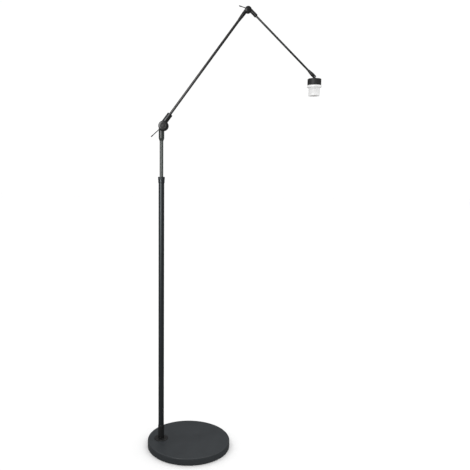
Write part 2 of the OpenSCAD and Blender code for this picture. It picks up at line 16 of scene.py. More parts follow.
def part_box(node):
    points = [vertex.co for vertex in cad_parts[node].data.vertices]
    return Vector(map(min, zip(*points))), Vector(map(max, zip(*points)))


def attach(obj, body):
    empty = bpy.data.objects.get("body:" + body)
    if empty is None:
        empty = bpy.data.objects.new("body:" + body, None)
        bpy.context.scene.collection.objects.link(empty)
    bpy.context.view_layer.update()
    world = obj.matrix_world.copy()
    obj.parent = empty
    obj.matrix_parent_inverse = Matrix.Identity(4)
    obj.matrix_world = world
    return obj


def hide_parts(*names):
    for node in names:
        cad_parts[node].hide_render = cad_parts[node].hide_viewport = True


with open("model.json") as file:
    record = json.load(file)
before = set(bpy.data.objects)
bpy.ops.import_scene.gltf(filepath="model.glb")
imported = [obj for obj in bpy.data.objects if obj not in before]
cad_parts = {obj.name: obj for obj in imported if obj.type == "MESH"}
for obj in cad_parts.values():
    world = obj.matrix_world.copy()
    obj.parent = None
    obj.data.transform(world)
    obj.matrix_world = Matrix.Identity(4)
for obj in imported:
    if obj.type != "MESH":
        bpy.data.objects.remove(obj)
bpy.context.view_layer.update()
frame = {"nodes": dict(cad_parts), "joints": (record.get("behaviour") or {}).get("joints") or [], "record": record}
MM = 0.001

# ---------- camera ----------

camera_data = bpy.data.cameras.new("camera")
camera_data.sensor_width = 36
camera_data.lens = 42.894
camera_data.shift_x = 0.0745
camera_data.clip_end = 100
camera = bpy.data.objects.new("camera", camera_data)
bpy.context.scene.collection.objects.link(camera)
camera.matrix_world = (
    Matrix.Translation((0.035, -1.967, 1.004))
    @ Matrix.Rotation(math.radians(83.5), 4, "X")
    @ Matrix.Rotation(math.radians(0.52), 4, "Z")
)
bpy.context.scene.camera = camera

# ---------- places, from the frame ----------

joints = {joint["name"]: joint for joint in frame["joints"]}


def pivot(name):
    return Vector(joints[name]["pos_m"])


def turned(angle):
    """A turn about +Y, which leans +Z towards +X."""
    return Matrix.Rotation(angle, 4, "Y")


def shift(x, y, z):
    """A move by millimetres."""
    return Matrix.Translation((x * MM, y * MM, z * MM))


pole_foot = Vector((pivot("collar_turn").x, 0, 0))
low_pivot = pivot("lower_knuckle")
high_pivot = pivot("upper_knuckle")
head_pivot = pivot("head_tilt")

LOW_OFF = (low_pivot.x - pole_foot.x) / MM
ARM1_OFF = 5.2
ELBOW_OFF = 4.1
ARM2_OFF = 4.6
step_off = ELBOW_OFF - ARM1_OFF
arm1_span = high_pivot - low_pivot
arm2_span = head_pivot - high_pivot
ARM1_LEN = math.sqrt((arm1_span.length / MM) ** 2 - step_off**2)
ARM2_LEN = math.sqrt((arm2_span.length / MM) ** 2 - ARM2_OFF**2)
low_fold = math.atan2(arm1_span.x, arm1_span.z) - math.atan2(step_off, ARM1_LEN)
arm2_angle = math.atan2(arm2_span.x, arm2_span.z) - math.atan2(-ARM2_OFF, ARM2_LEN)

AT_BASE = Matrix.Identity(4)
AT_POLE = Matrix.Translation(pole_foot)
AT_MAST_KNUCKLE = Matrix.Translation(low_pivot)
AT_ARM1 = AT_MAST_KNUCKLE @ turned(low_fold)
AT_ELBOW = AT_ARM1 @ shift(step_off, 0, ARM1_LEN)
AT_ARM2 = Matrix.Translation(high_pivot) @ turned(arm2_angle)
AT_ARM2_END = AT_ARM2 @ shift(-ARM2_OFF, 0, ARM2_LEN)
AT_HEAD = Matrix.Translation(head_pivot)
DOWN = Matrix.Diagonal((1, 1, -1, 1))
TO_FRONT = Matrix.Diagonal((1, -1, 1, 1))
Z_TO_BACK = Matrix.Rotation(math.radians(-90), 4, "X")
Z_TO_FRONT = Matrix.Rotation(math.radians(90), 4, "X")


def lever_place(pivot_point, tip_node):
    """The lever's own frame: its pivot is the origin and its rod runs up +Z."""
    low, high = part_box(tip_node)
    reach = (low + high) / 2 - pivot_point
    return Matrix.Translation(pivot_point) @ turned(math.atan2(reach.x, reach.z))


# ---------- materials ----------


def link(tree, out_socket, in_socket):
    tree.links.new(out_socket, in_socket)


def surface(
    name,
    colour,
    roughness,
    metallic=0.0,
    specular=0.5,
    mottle=0.10,
    mottle_per_mm=0.02,
    grain_per_mm=1.2,
    grain=0.02,
    rough_spread=0.06,
    brushed=False,
    wear=0.0,
    wear_colour=(0.2, 0.2, 0.2),
    from_cad=False,
    subsurface=0.0,
    tint=(1, 1, 1),
):
    """A painted, moulded or metal surface: mottled colour, uneven gloss, a fine grain in the bump, rubbed edges.

    grain is the bump's height in millimetres. Brushed surfaces have their grain drawn out along local Z, and
    tint is the colour of the sheen. Pieces from the CAD are told by from_cad, since they lack the local_mm
    attribute.
    """
    mat = bpy.data.materials.new(name)
    mat.use_nodes = True
    tree = mat.node_tree
    shader = tree.nodes["Principled BSDF"]
    shader.inputs["Metallic"].default_value = metallic
    shader.inputs["Specular IOR Level"].default_value = specular
    shader.inputs["Specular Tint"].default_value = (*tint, 1)
    if subsurface:
        shader.inputs["Subsurface Weight"].default_value = subsurface
        shader.inputs["Subsurface Radius"].default_value = (0.004, 0.004, 0.004)
        shader.inputs["Subsurface Scale"].default_value = 1.0

    if from_cad:
        coords = tree.nodes.new("ShaderNodeTexCoord")
        to_mm = tree.nodes.new("ShaderNodeMapping")
        to_mm.inputs["Scale"].default_value = (1 / MM, 1 / MM, 1 / MM)
        link(tree, coords.outputs["Object"], to_mm.inputs["Vector"])
        place = to_mm.outputs["Vector"]
    else:
        local = tree.nodes.new("ShaderNodeAttribute")
        local.attribute_name = "local_mm"
        place = local.outputs["Vector"]

    blotches = tree.nodes.new("ShaderNodeTexNoise")
    blotches.inputs["Scale"].default_value = mottle_per_mm
    blotches.inputs["Detail"].default_value = 5
    blotches.inputs["Roughness"].default_value = 0.6
    link(tree, place, blotches.inputs["Vector"])

    grain_place = place
    if brushed:
        drawn = tree.nodes.new("ShaderNodeMapping")
        drawn.inputs["Scale"].default_value = (1, 1, 0.03)
        link(tree, place, drawn.inputs["Vector"])
        grain_place = drawn.outputs["Vector"]
    fine = tree.nodes.new("ShaderNodeTexNoise")
    fine.inputs["Scale"].default_value = grain_per_mm
    fine.inputs["Detail"].default_value = 3
    link(tree, grain_place, fine.inputs["Vector"])

    ramp = tree.nodes.new("ShaderNodeValToRGB")
    ramp.color_ramp.elements[0].position = 0.3
    ramp.color_ramp.elements[1].position = 0.7
    ramp.color_ramp.elements[0].color = (*[c * (1 - mottle) for c in colour], 1)
    ramp.color_ramp.elements[1].color = (*[min(1, c * (1 + mottle)) for c in colour], 1)
    link(tree, blotches.outputs["Fac"], ramp.inputs["Fac"])
    shown_colour = ramp.outputs["Color"]

    gloss = tree.nodes.new("ShaderNodeMapRange")
    gloss.inputs["To Min"].default_value = roughness - rough_spread
    gloss.inputs["To Max"].default_value = roughness + rough_spread
    gloss.inputs["From Min"].default_value = 0.3
    gloss.inputs["From Max"].default_value = 0.7
    both = tree.nodes.new("ShaderNodeMix")
    both.inputs["Factor"].default_value = 0.5
    link(tree, blotches.outputs["Fac"], both.inputs["A"])
    link(tree, fine.outputs["Fac"], both.inputs["B"])
    link(tree, both.outputs["Result"], gloss.inputs["Value"])

    if wear:
        edge = tree.nodes.new("ShaderNodeAttribute")
        edge.attribute_name = "edge"
        scuffs = tree.nodes.new("ShaderNodeTexNoise")
        scuffs.inputs["Scale"].default_value = 0.35
        scuffs.inputs["Detail"].default_value = 6
        link(tree, place, scuffs.inputs["Vector"])
        patchy = tree.nodes.new("ShaderNodeMapRange")
        patchy.inputs["From Min"].default_value = 0.42
        patchy.inputs["From Max"].default_value = 0.68
        patchy.inputs["To Max"].default_value = wear
        link(tree, scuffs.outputs["Fac"], patchy.inputs["Value"])
        rubbed = tree.nodes.new("ShaderNodeMath")
        rubbed.operation = "MULTIPLY"
        link(tree, edge.outputs["Fac"], rubbed.inputs[0])
        link(tree, patchy.outputs["Result"], rubbed.inputs[1])
        worn = tree.nodes.new("ShaderNodeMix")
        worn.data_type = "RGBA"
        worn.inputs["B"].default_value = (*wear_colour, 1)
        link(tree, rubbed.outputs["Value"], worn.inputs["Factor"])
        link(tree, shown_colour, worn.inputs["A"])
        shown_colour = worn.outputs["Result"]

    bump = tree.nodes.new("ShaderNodeBump")
    bump.inputs["Strength"].default_value = 1
    bump.inputs["Distance"].default_value = grain * MM
    link(tree, fine.outputs["Fac"], bump.inputs["Height"])
    link(tree, bump.outputs["Normal"], shader.inputs["Normal"])
    link(tree, shown_colour, shader.inputs["Base Color"])
    link(tree, gloss.outputs["Result"], shader.inputs["Roughness"])
    return mat


PAINT_WEAR = (0.16, 0.165, 0.17)
base_coat = surface("base_coat", (0.0262, 0.0295, 0.0325), 0.36, specular=0.3, mottle=0.10,
                    mottle_per_mm=0.016, grain_per_mm=1.1, grain=0.010, wear=0.12,
                    wear_colour=(0.07, 0.073, 0.077))
tube_coat = surface("tube_coat", (0.010, 0.0122, 0.014), 0.47, specular=0.6, mottle=0.12, mottle_per_mm=0.02,
                    grain_per_mm=1.3, grain=0.010, wear=0.35, wear_colour=PAINT_WEAR, tint=(0.88, 0.97, 1.0))
# the mast tube's lighter greenish grey, set against the black of the lower tube, is a painted reflection
mast_coat = surface("mast_coat", (0.052, 0.062, 0.057), 0.38, specular=0.5, mottle=0.12, mottle_per_mm=0.03,
                    grain_per_mm=1.4, grain=0.010, wear=0.3, wear_colour=(0.25, 0.26, 0.25))
arm2_coat = surface("arm2_coat", (0.018, 0.0215, 0.020), 0.42, specular=0.4, mottle=0.12, mottle_per_mm=0.03,
                    grain_per_mm=1.4, grain=0.008, wear=0.2, wear_colour=PAINT_WEAR)
arm_coat = surface("arm_coat", (0.018, 0.0172, 0.017), 0.36, specular=0.45, mottle=0.12, mottle_per_mm=0.03,
                   grain_per_mm=1.4, grain=0.010, wear=0.3, wear_colour=PAINT_WEAR)
casting_black = surface("casting_black", (0.010, 0.0103, 0.0106), 0.36, specular=0.4, mottle=0.16,
                        mottle_per_mm=0.12, grain_per_mm=1.8, grain=0.008, rough_spread=0.07, wear=0.25,
                        wear_colour=(0.09, 0.092, 0.095))
# a lighter bluish copy of casting_black for the collar: the lift over casting_black is a painted sheen, standing
# in for the collar's highlight
collar_casting_painted_sheen = surface("collar_casting_painted_sheen", (0.017, 0.0195, 0.0215), 0.35, specular=0.5, mottle=0.14,
                         mottle_per_mm=0.12, grain_per_mm=1.8, grain=0.008, rough_spread=0.07, wear=0.25,
                         wear_colour=(0.09, 0.094, 0.098), tint=(0.88, 0.97, 1.0))
# a lighter greenish copy of casting_black for the mast knuckle: the lift is a painted sheen, matching the sleeve's
# highlight to the mast tube's
mast_casting_painted_sheen = surface("mast_casting_painted_sheen", (0.030, 0.036, 0.033), 0.38, specular=0.45, mottle=0.14,
                       mottle_per_mm=0.12, grain_per_mm=1.8, grain=0.008, rough_spread=0.07, wear=0.2,
                       wear_colour=(0.10, 0.105, 0.10))
cup_coat = surface("cup_coat", (0.022, 0.022, 0.0225), 0.54, specular=0.25, mottle=0.10, mottle_per_mm=0.05,
                   grain_per_mm=1.6, grain=0.008, wear=0.4, wear_colour=PAINT_WEAR)
lever_steel = surface("lever_steel", (0.050, 0.050, 0.050), 0.40, metallic=1.0, mottle=0.14,
                      mottle_per_mm=0.3, grain_per_mm=3.0, grain=0.008, brushed=True, wear=0.5,
                      wear_colour=(0.35, 0.35, 0.34))
black_plastic = surface("black_plastic", (0.018, 0.018, 0.019), 0.52, mottle=0.10, mottle_per_mm=0.2,
                        grain_per_mm=4.0, grain=0.018, wear=0.3, wear_colour=(0.08, 0.08, 0.08))
white_plastic = surface("white_plastic", (0.76, 0.76, 0.756), 0.40, mottle=0.015, mottle_per_mm=0.08,
                        grain_per_mm=1.5, grain=0.004, rough_spread=0.05, wear=0.2,
                        wear_colour=(0.68, 0.676, 0.665))
# the shade ring's white is a brighter copy of the skirt's white plastic: the lift is painted light, so the ring
# reads more brightly lit
ring_plastic_painted_light = surface("ring_plastic_painted_light", (0.80, 0.80, 0.796), 0.36, mottle=0.015, mottle_per_mm=0.08,
                       grain_per_mm=1.5, grain=0.004, rough_spread=0.05, wear=0.2,
                       wear_colour=(0.74, 0.735, 0.72))

cad_looks = {
    "zinc_steel": surface("zinc_steel", (0.56, 0.57, 0.60), 0.32, metallic=1.0, mottle=0.14,
                          mottle_per_mm=0.25, grain_per_mm=3.0, grain=0.008, rough_spread=0.10,
                          from_cad=True),
    "lever_steel": surface("blackened_screws", (0.050, 0.050, 0.050), 0.40, metallic=1.0, mottle=0.14,
                           mottle_per_mm=0.3, grain_per_mm=3.0, grain=0.008, from_cad=True),
    "black_plastic": surface("black_plastic_cad", (0.018, 0.018, 0.019), 0.52, mottle=0.10, mottle_per_mm=0.2,
                             grain_per_mm=4.0, grain=0.018, from_cad=True),
    "white_plastic": surface("white_plastic_cad", (0.76, 0.76, 0.756), 0.40, mottle=0.02, mottle_per_mm=0.08,
                             grain_per_mm=1.5, grain=0.004, from_cad=True),
    "natural_plastic": surface("natural_plastic", (0.70, 0.68, 0.60), 0.45, mottle=0.05, mottle_per_mm=0.15,
                               grain_per_mm=2.0, grain=0.010, from_cad=True, subsurface=0.2),
    "ceramic": surface("ceramic", (0.78, 0.76, 0.70), 0.55, mottle=0.06, mottle_per_mm=0.5,
                       grain_per_mm=3.5, grain=0.020, from_cad=True),
    "brass": surface("brass", (0.72, 0.52, 0.22), 0.26, metallic=1.0, mottle=0.16, mottle_per_mm=0.3,
                     grain_per_mm=2.5, grain=0.006, rough_spread=0.10, from_cad=True),
    "iron": surface("iron", (0.055, 0.055, 0.058), 0.7, mottle=0.25, mottle_per_mm=0.1,
                    grain_per_mm=0.9, grain=0.12, rough_spread=0.1, from_cad=True),
    "pad_foam": surface("pad_foam", (0.02, 0.02, 0.02), 0.9, specular=0.2, mottle=0.3, mottle_per_mm=0.3,
                        grain_per_mm=1.6, grain=0.15, from_cad=True),
    "cable_sheath": surface("cable_sheath", (0.02, 0.02, 0.02), 0.42, mottle=0.1, mottle_per_mm=0.1,
                            grain_per_mm=1.5, grain=0.01, from_cad=True),
    "wire_insulation": surface("wire_insulation", (0.16, 0.07, 0.03), 0.35, mottle=0.1, mottle_per_mm=0.1,
                               grain_per_mm=1.5, grain=0.01, from_cad=True),
}

# ---------- mesh building ----------


def rounded(points, steps=6):
    """Turns corners (x, z, fillet) into (x, z, edge): a corner with a fillet becomes an arc, marked as an edge."""
    out = []
    for i, (x, z, fillet) in enumerate(points):
        corner = Vector((x, z))
        if fillet <= 0:
            out.append((x, z, 0.0))
            continue
        back = (Vector(points[i - 1][:2]) - corner).normalized()
        ahead = (Vector(points[(i + 1) % len(points)][:2]) - corner).normalized()
        half = back.angle(ahead) / 2
        centre = corner + (back + ahead).normalized() * fillet / math.sin(half)
        start = corner + back * fillet / math.tan(half) - centre
        end = corner + ahead * fillet / math.tan(half) - centre
        turn = math.atan2(start.x * end.y - start.y * end.x, start.dot(end))
        for k in range(steps + 1):
            c, s = math.cos(turn * k / steps), math.sin(turn * k / steps)
            mark = math.sin(math.pi * k / steps)
            out.append((centre.x + start.x * c - start.y * s, centre.y + start.x * s + start.y * c, mark))
    return out


def new_bmesh():
    bm = bmesh.new()
    bm.verts.layers.float.new("edge")
    return bm


def lathe(points, segments=96, steps=6, shape=None):
    """A closed outline of (radius, height, fillet) turned about local Z.

    shape(radius, height, angle) may change the radius.
    """
    bm = new_bmesh()
    edge = bm.verts.layers.float["edge"]
    rings = []
    for r, z, mark in rounded(points, steps):
        on_axis = r < 1e-6
        ring = []
        for k in range(1 if on_axis else segments):
            angle = 2 * math.pi * k / segments
            radius = shape(r, z, angle) if shape and not on_axis else r
            vert = bm.verts.new((radius * math.cos(angle), radius * math.sin(angle), z))
            vert[edge] = mark
            ring.append(vert)
        rings.append(ring)
    for i, ring in enumerate(rings):
        other = rings[(i + 1) % len(rings)]
        for k in range(segments):
            a = [ring[k % len(ring)], ring[(k + 1) % len(ring)]]
            b = [other[(k + 1) % len(other)], other[k % len(other)]]
            corners = list(dict.fromkeys(a + b))
            if len(corners) > 2:
                bm.faces.new(corners)
    bmesh.ops.recalc_face_normals(bm, faces=bm.faces)
    return bm


def solid_rod(r, low, high, fillet=0.0):
    """The outline of a plain rod."""
    return [(0, low, 0), (r, low, fillet), (r, high, fillet), (0, high, 0)]


def pipe(r_out, r_in, low, high, fillet):
    """The outline of a pipe with rounded rims."""
    return [(r_out, low, fillet), (r_out, high, fillet), (r_in, high, fillet), (r_in, low, fillet)]


def turn_bmesh(bm, matrix):
    """Moves a shape, and turns its faces back out if the matrix mirrors it."""
    bmesh.ops.transform(bm, matrix=matrix, verts=bm.verts)
    if matrix.determinant() < 0:
        bmesh.ops.reverse_faces(bm, faces=bm.faces)
    return bm


def to_object(bm, name):
    mesh = bpy.data.meshes.new(name)
    bm.to_mesh(mesh)
    bm.free()
    obj = bpy.data.objects.new(name, mesh)
    bpy.context.scene.collection.objects.link(obj)
    return obj


def with_modifiers(obj):
    """The object's mesh with its modifiers applied, as a new mesh, and the object taken away."""
    mesh = bpy.data.meshes.new_from_object(obj.evaluated_get(bpy.context.evaluated_depsgraph_get()))
    bpy.data.objects.remove(obj)
    return mesh


def merged(bmeshes):
    """Several closed shapes as one bmesh."""
    joined = new_bmesh()
    for bm in bmeshes:
        mesh = bpy.data.meshes.new("part")
        bm.to_mesh(mesh)
        bm.free()
        joined.from_mesh(mesh)
        bpy.data.meshes.remove(mesh)
    return joined


def cast(bmeshes, voxel, smooth_passes):
    """Overlapping closed shapes melted into one casting with soft edges and filleted corners."""
    obj = to_object(merged(bmeshes), "melt")
    melt = obj.modifiers.new("melt", "REMESH")
    melt.mode = "VOXEL"
    melt.voxel_size = voxel
    soften = obj.modifiers.new("soften", "SMOOTH")
    soften.factor = 0.5
    soften.iterations = smooth_passes
    mesh = with_modifiers(obj)
    bm = new_bmesh()
    bm.from_mesh(mesh)
    bpy.data.meshes.remove(mesh)
    bm.normal_update()
    edge = bm.verts.layers.float["edge"]
    for vert in bm.verts:
        bend = sum(e.calc_face_angle_signed(0.0) for e in vert.link_edges) / len(vert.link_edges)
        vert[edge] = min(1.0, max(0.0, bend * 6))
    return bm


def carve(bm, cutters):
    """The shape with closed cutters taken away, exactly, one by one."""
    obj = to_object(bm, "carved")
    for cutter in cutters:
        tool = to_object(cutter, "cutter")
        cut = obj.modifiers.new("cut", "BOOLEAN")
        cut.operation = "DIFFERENCE"
        cut.solver = "EXACT"
        cut.object = tool
        mesh = bpy.data.meshes.new_from_object(obj.evaluated_get(bpy.context.evaluated_depsgraph_get()))
        obj.modifiers.clear()
        obj.data = mesh
        bpy.data.objects.remove(tool)
    out = new_bmesh()
    out.from_mesh(obj.data)
    bpy.data.objects.remove(obj)
    return out


def piece(name, bm, place, body, mat, nodes, sharp=35):
    """Puts a finished shape in its place, on its body, in the stead of its CAD nodes."""
    local = bm.verts.layers.float_vector.new("local_mm")
    for vert in bm.verts:
        vert[local] = vert.co
    turn_bmesh(bm, place @ Matrix.Scale(MM, 4))
    obj = to_object(bm, name)
    obj.data.materials.append(mat)
    obj.data.shade_smooth()
    obj.data.set_sharp_from_angle(angle=math.radians(sharp))
    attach(obj, body)
    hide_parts(*nodes)
    return obj


# ---------- base ----------

base_low, base_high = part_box("base_cover")
BASE_R = (base_high.y - base_low.y) / 2 / MM
BASE_TOP = base_high.z / MM
BASE_FOOT = base_low.z / MM
COVER_WALL = 1.2


def make_base():
    inner = BASE_R - COVER_WALL
    under = BASE_TOP - COVER_WALL
    cover = lathe(
        [
            (0, BASE_TOP, 0),
            (BASE_R, BASE_TOP, 3.0),
            (BASE_R, BASE_FOOT, 0.5),
            (inner, BASE_FOOT, 0.5),
            (inner, under, 1.8),
            (0, under, 0),
        ],
        segments=256,
        steps=10,
    )
    piece("cover_pressing", cover, AT_BASE, "base", base_coat, ["base_cover"])
    flange_low, flange_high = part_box("foot_flange")
    r = (flange_high.x - flange_low.x) / 2 / MM
    z0, z1 = flange_low.z / MM, flange_high.z / MM
    flange = lathe([(0, z0, 0), (r, z0, 0.2), (r, z1, 1.2), (0, z1, 0)], segments=128)
    # the flange takes the darker casting finish in place of the base's coat: painted shade, standing in for the
    # shadow round its rim
    piece("flange_turning", flange, AT_POLE, "base", casting_black, ["foot_flange"])


# ---------- pole ----------

POLE_R, POLE_BORE = 10.0, 8.8
COLLAR_R = 11.8
COLLAR_GRIPS = 18
FLUTE_DEPTH = 0.32


def tube_piece(name, node, r_out, r_in, low, high, place, body, mat, fillet=0.3, segments=72):
    """A tube with rounded ends."""
    bm = lathe(pipe(r_out, r_in, low, high, fillet), segments=segments, steps=3)
    piece(name, bm, place, body, mat, [node])


def make_pole():
    sleeve_low, sleeve_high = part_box("foot_sleeve")
    r = (sleeve_high.x - sleeve_low.x) / 2 / MM
    z0, z1 = sleeve_low.z / MM, sleeve_high.z / MM
    sleeve = lathe(
        [
            (r - 0.96, z0, 0.1),
            (r - 0.4, z0, 0.15),
            (r, z0 + 0.8, 0.5),
            (r, z1 - 1.4, 0.6),
            (r - 0.8, z1, 0.2),
            (r - 0.96, z1, 0.05),
        ],
        segments=96,
    )
    piece("sleeve_turning", sleeve, AT_POLE, "base", casting_black, ["foot_sleeve"])
    tube_low, tube_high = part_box("lower_tube")
    tube_piece("lower_pole_tube", "lower_tube", POLE_R, POLE_BORE, tube_low.z / MM, tube_high.z / MM,
               AT_POLE, "base", tube_coat)
    body_low, body_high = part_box("collar_body")
    nut_low, nut_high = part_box("collar_nut")
    z0, split, z1 = body_low.z / MM, nut_low.z / MM - 0.3, nut_high.z / MM
    neck_top = body_high.z / MM
    collar = lathe(
        [
            (10.02, z0, 0.1),
            (10.6, z0, 0.2),
            (COLLAR_R - 0.6, z0 + 1.3, 0.8),
            (COLLAR_R - 0.6, split, 0.3),
            (9.9, split, 0.1),
            (9.9, neck_top, 0.2),
            (9.1, neck_top, 0.2),
            (9.1, z0 + 3.5, 0.1),
            (10.02, z0 + 3.5, 0.1),
        ]
    )
    piece("collar_socket", collar, AT_POLE, "base", collar_casting_painted_sheen, ["collar_body"])

    def fluted(r, z, angle):
        """Shallow flutes round the nut, between its two plain rims."""
        if r < COLLAR_R - 0.5 or not split + 1.6 < z < z1 - 1.7:
            return r
        return r - FLUTE_DEPTH * max(0.0, math.cos(COLLAR_GRIPS * angle)) ** 3

    rows = [(COLLAR_R, split + 1.5 + (z1 - split - 3.1) * k / 12, 0) for k in range(13)]
    nut = lathe(
        [
            (9.95, split + 0.3, 0.1),
            (COLLAR_R, split + 0.3, 0.5),
            *rows,
            (COLLAR_R, z1, 1.2),
            (6.8, z1, 0.5),
            (6.8, neck_top + 0.3, 0.1),
            (9.95, neck_top + 0.3, 0.1),
        ],
        segments=COLLAR_GRIPS * 12,
        shape=fluted,
    )
    piece("clamp_nut", nut, AT_POLE, "collar", collar_casting_painted_sheen, ["collar_nut"])


# ---------- knuckles ----------

JOINT_GAP = 0.4
SWING_GAP = 0.5
LOW_DISC_R = 17.6
HIGH_DISC_R = 11.4
LOW_BACK, LOW_FRONT = 11.9, 9.9
HIGH_BACK, HIGH_FRONT = 9.4, 6.8
LOW_SLEEVE_R, HIGH_SLEEVE_R = 9.7, 6.4
LOW_BOLT_R, HIGH_BOLT_R = 2.97, 2.47
SCREW_HOLE_R = 1.55
MAST_R, MAST_BORE = 6.4, 5.2
ARM1_R, ARM1_BORE = 4.5, 3.5
ARM2_R, ARM2_BORE = 3.4, 2.6


def cross(outline, low_y):
    """A lathe outline turned about Y instead: height 0 lies at low_y and the heights run to the back, +Y."""
    bm = lathe(outline)
    return turn_bmesh(bm, Matrix.Translation((0, low_y, 0)) @ Z_TO_BACK)


def knuckle_half(
    name, node, place, body, disc_r, half, gap, sleeve_r, off, reach, tip, tip_r, tube_r, bolt_r, screw_z, voxel,
    mat,
):
    """Half of a clamp knuckle: the disc on the +Y side of its pivot, and the sleeve up +Z at x = -off.

    reach is the sleeve's length from the pivot, and tip is how much of it narrows to tip_r.
    """
    face = gap + half
    disc = cross(
        [(0, -1, 0), (disc_r, -1, 0), (disc_r, half, disc_r / 10), (0, half, 0)],
        gap,
    )
    bend = 8 if tip > 2 else 0.4
    sleeve = lathe(
        [
            (0, 0.5, 0),
            (sleeve_r - 0.6, 0.5, 0),
            (sleeve_r, 1.5, 0),
            (sleeve_r, reach - tip, bend),
            (tip_r, reach, 0.3),
            (0, reach, 0),
        ]
    )
    turn_bmesh(sleeve, Matrix.Translation((-off, 0, 0)))
    body_shape = cast([disc, sleeve], voxel, 4)
    room = cross(solid_rod(disc_r + SWING_GAP, 0, face + 12), gap - face - 12)
    bolt_hole = cross(solid_rod(bolt_r + 0.05, 0, face + 4), gap - 2)
    socket = lathe(solid_rod(tube_r + 0.05, disc_r + 2, reach + 5))
    turn_bmesh(socket, Matrix.Translation((-off, 0, 0)))
    screw_hole = cross(solid_rod(SCREW_HOLE_R, 0, sleeve_r + 2), 0)
    turn_bmesh(screw_hole, Matrix.Translation((-off, 0, screw_z)))
    shape = carve(body_shape, [room, bolt_hole, socket, screw_hole])
    piece(name, shape, place, body, mat, [node], sharp=28)


def make_knuckles():
    low = dict(disc_r=LOW_DISC_R, sleeve_r=LOW_SLEEVE_R, bolt_r=LOW_BOLT_R, voxel=0.4)
    high = dict(disc_r=HIGH_DISC_R, sleeve_r=HIGH_SLEEVE_R, bolt_r=HIGH_BOLT_R, voxel=0.3)
    knuckle_half(
        "mast_casting_painted_sheen", "mast_knuckle", AT_MAST_KNUCKLE @ DOWN, "mast",
        half=LOW_BACK - JOINT_GAP, gap=JOINT_GAP + 0.05, off=LOW_OFF, reach=51, tip=8, tip_r=7.1,
        tube_r=MAST_R, screw_z=39, mat=mast_casting_painted_sheen, **low,
    )
    knuckle_half(
        "arm_casting", "lower_arm_knuckle", AT_ARM1 @ TO_FRONT, "lower_arm",
        half=LOW_FRONT - JOINT_GAP, gap=JOINT_GAP, off=ARM1_OFF, reach=46.3, tip=1.5, tip_r=9.0,
        tube_r=ARM1_R, screw_z=34, mat=casting_black, **low,
    )
    knuckle_half(
        "elbow_back_casting", "elbow_knuckle", AT_ELBOW @ DOWN, "lower_arm",
        half=HIGH_BACK - JOINT_GAP, gap=JOINT_GAP + 0.05, off=ELBOW_OFF, reach=46, tip=24, tip_r=4.95,
        tube_r=ARM1_R, screw_z=19, mat=casting_black, **high,
    )
    knuckle_half(
        "elbow_front_casting", "upper_arm_knuckle", AT_ARM2 @ TO_FRONT, "upper_arm",
        half=HIGH_FRONT - JOINT_GAP, gap=JOINT_GAP, off=ARM2_OFF, reach=35.1, tip=1.2, tip_r=5.9,
        tube_r=ARM2_R, screw_z=23, mat=casting_black, **high,
    )
    for name, node, r, face, place, body in (
        ("lower_cap_moulding", "lower_bolt_cap", 9.0, LOW_BACK, AT_MAST_KNUCKLE, "mast"),
        ("upper_cap_moulding", "upper_bolt_cap", 7.0, HIGH_BACK, AT_ELBOW, "lower_arm"),
    ):
        cap = cross([(0, 0, 0), (r, 0, 0.1), (r, 1.0, 0.5), (r * 0.82, 1.8, 1.5), (0, 1.8, 0)], face + 0.05)
        piece(name, cap, place, body, black_plastic, [node])


# ---------- levers ----------


# the hub's sunk ring, and how far its crown falls towards the rim, as shares of its radius
RING_OUT, RING_IN = 0.54, 0.32
CROWN_DROP = 0.09
RING_DEPTH = 0.6


def make_lever(prefix, body, place, face, hub_r, hub_h, bolt_r, rod_r, length):
    """A clamp disc with a sunk ring in its face, a rod screwed into its rim and a small rounded tip."""
    front = Matrix.Translation((0, -face - 0.9, 0)) @ Z_TO_FRONT
    ring_out, ring_in = hub_r * RING_OUT, hub_r * RING_IN
    drop = hub_r * CROWN_DROP
    steps = 8
    crown = [
        (hub_r * (1 - (1 - RING_OUT) * k / steps), hub_h - drop * (1 - k / steps) ** 2, 0)
        for k in range(1, steps)
    ]
    hub = lathe(
        [
            (bolt_r + 0.05, 0, 0.2),
            (hub_r, 0, 0.4),
            (hub_r, hub_h - drop, 0.7),
            *crown,
            (ring_out, hub_h, 0.3),
            (ring_out - 0.3, hub_h - RING_DEPTH, 0.15),
            (ring_in + 0.3, hub_h - RING_DEPTH, 0.15),
            (ring_in, hub_h, 0.3),
            (0, hub_h, 0),
            (0, hub_h - 1.2, 0),
            (bolt_r + 0.05, hub_h - 1.2, 0.1),
        ],
        segments=128,
    )
    turn_bmesh(hub, front)
    piece(f"{prefix}_hub", hub, place, body, casting_black, [f"{prefix}_lever_hub"])
    middle = Matrix.Translation((0, -face - 0.9 - hub_h / 2, 0))
    rod = lathe(
        [
            (0, hub_r - 2, 0),
            (rod_r, hub_r - 2, 0),
            (rod_r, hub_r + 0.7, 0.05),
            (rod_r - 0.2, hub_r + 1.0, 0.05),
            (rod_r - 0.2, hub_r + 2.2, 0.05),
            (rod_r, hub_r + 2.5, 0.1),
            (rod_r, length - 5, 0.2),
            (0, length - 5, 0),
        ],
        segments=40,
    )
    turn_bmesh(rod, middle)
    piece(f"{prefix}_rod", rod, place, body, lever_steel, [f"{prefix}_lever_rod"])
    tip_r = rod_r + 0.45
    tip = lathe(
        [
            (0, length - 9, 0),
            (rod_r + 0.05, length - 9, 0.1),
            (tip_r, length - 8, 0.4),
            (tip_r, length, tip_r - 0.05),
            (0, length, 0),
        ],
        segments=40,
    )
    turn_bmesh(tip, middle)
    piece(f"{prefix}_tip", tip, place, body, black_plastic, [f"{prefix}_lever_tip"])


def make_levers():
    low_place = lever_place(low_pivot, "lower_lever_tip")
    high_place = lever_place(high_pivot, "upper_lever_tip")
    make_lever("lower", "lower_lever", low_place, LOW_FRONT, hub_r=16.8, hub_h=4.3, bolt_r=LOW_BOLT_R,
               rod_r=1.6, length=57.5)
    make_lever("upper", "upper_lever", high_place, HIGH_FRONT, hub_r=9.6, hub_h=3.8, bolt_r=HIGH_BOLT_R,
               rod_r=1.45, length=33.5)


# ---------- arms ----------


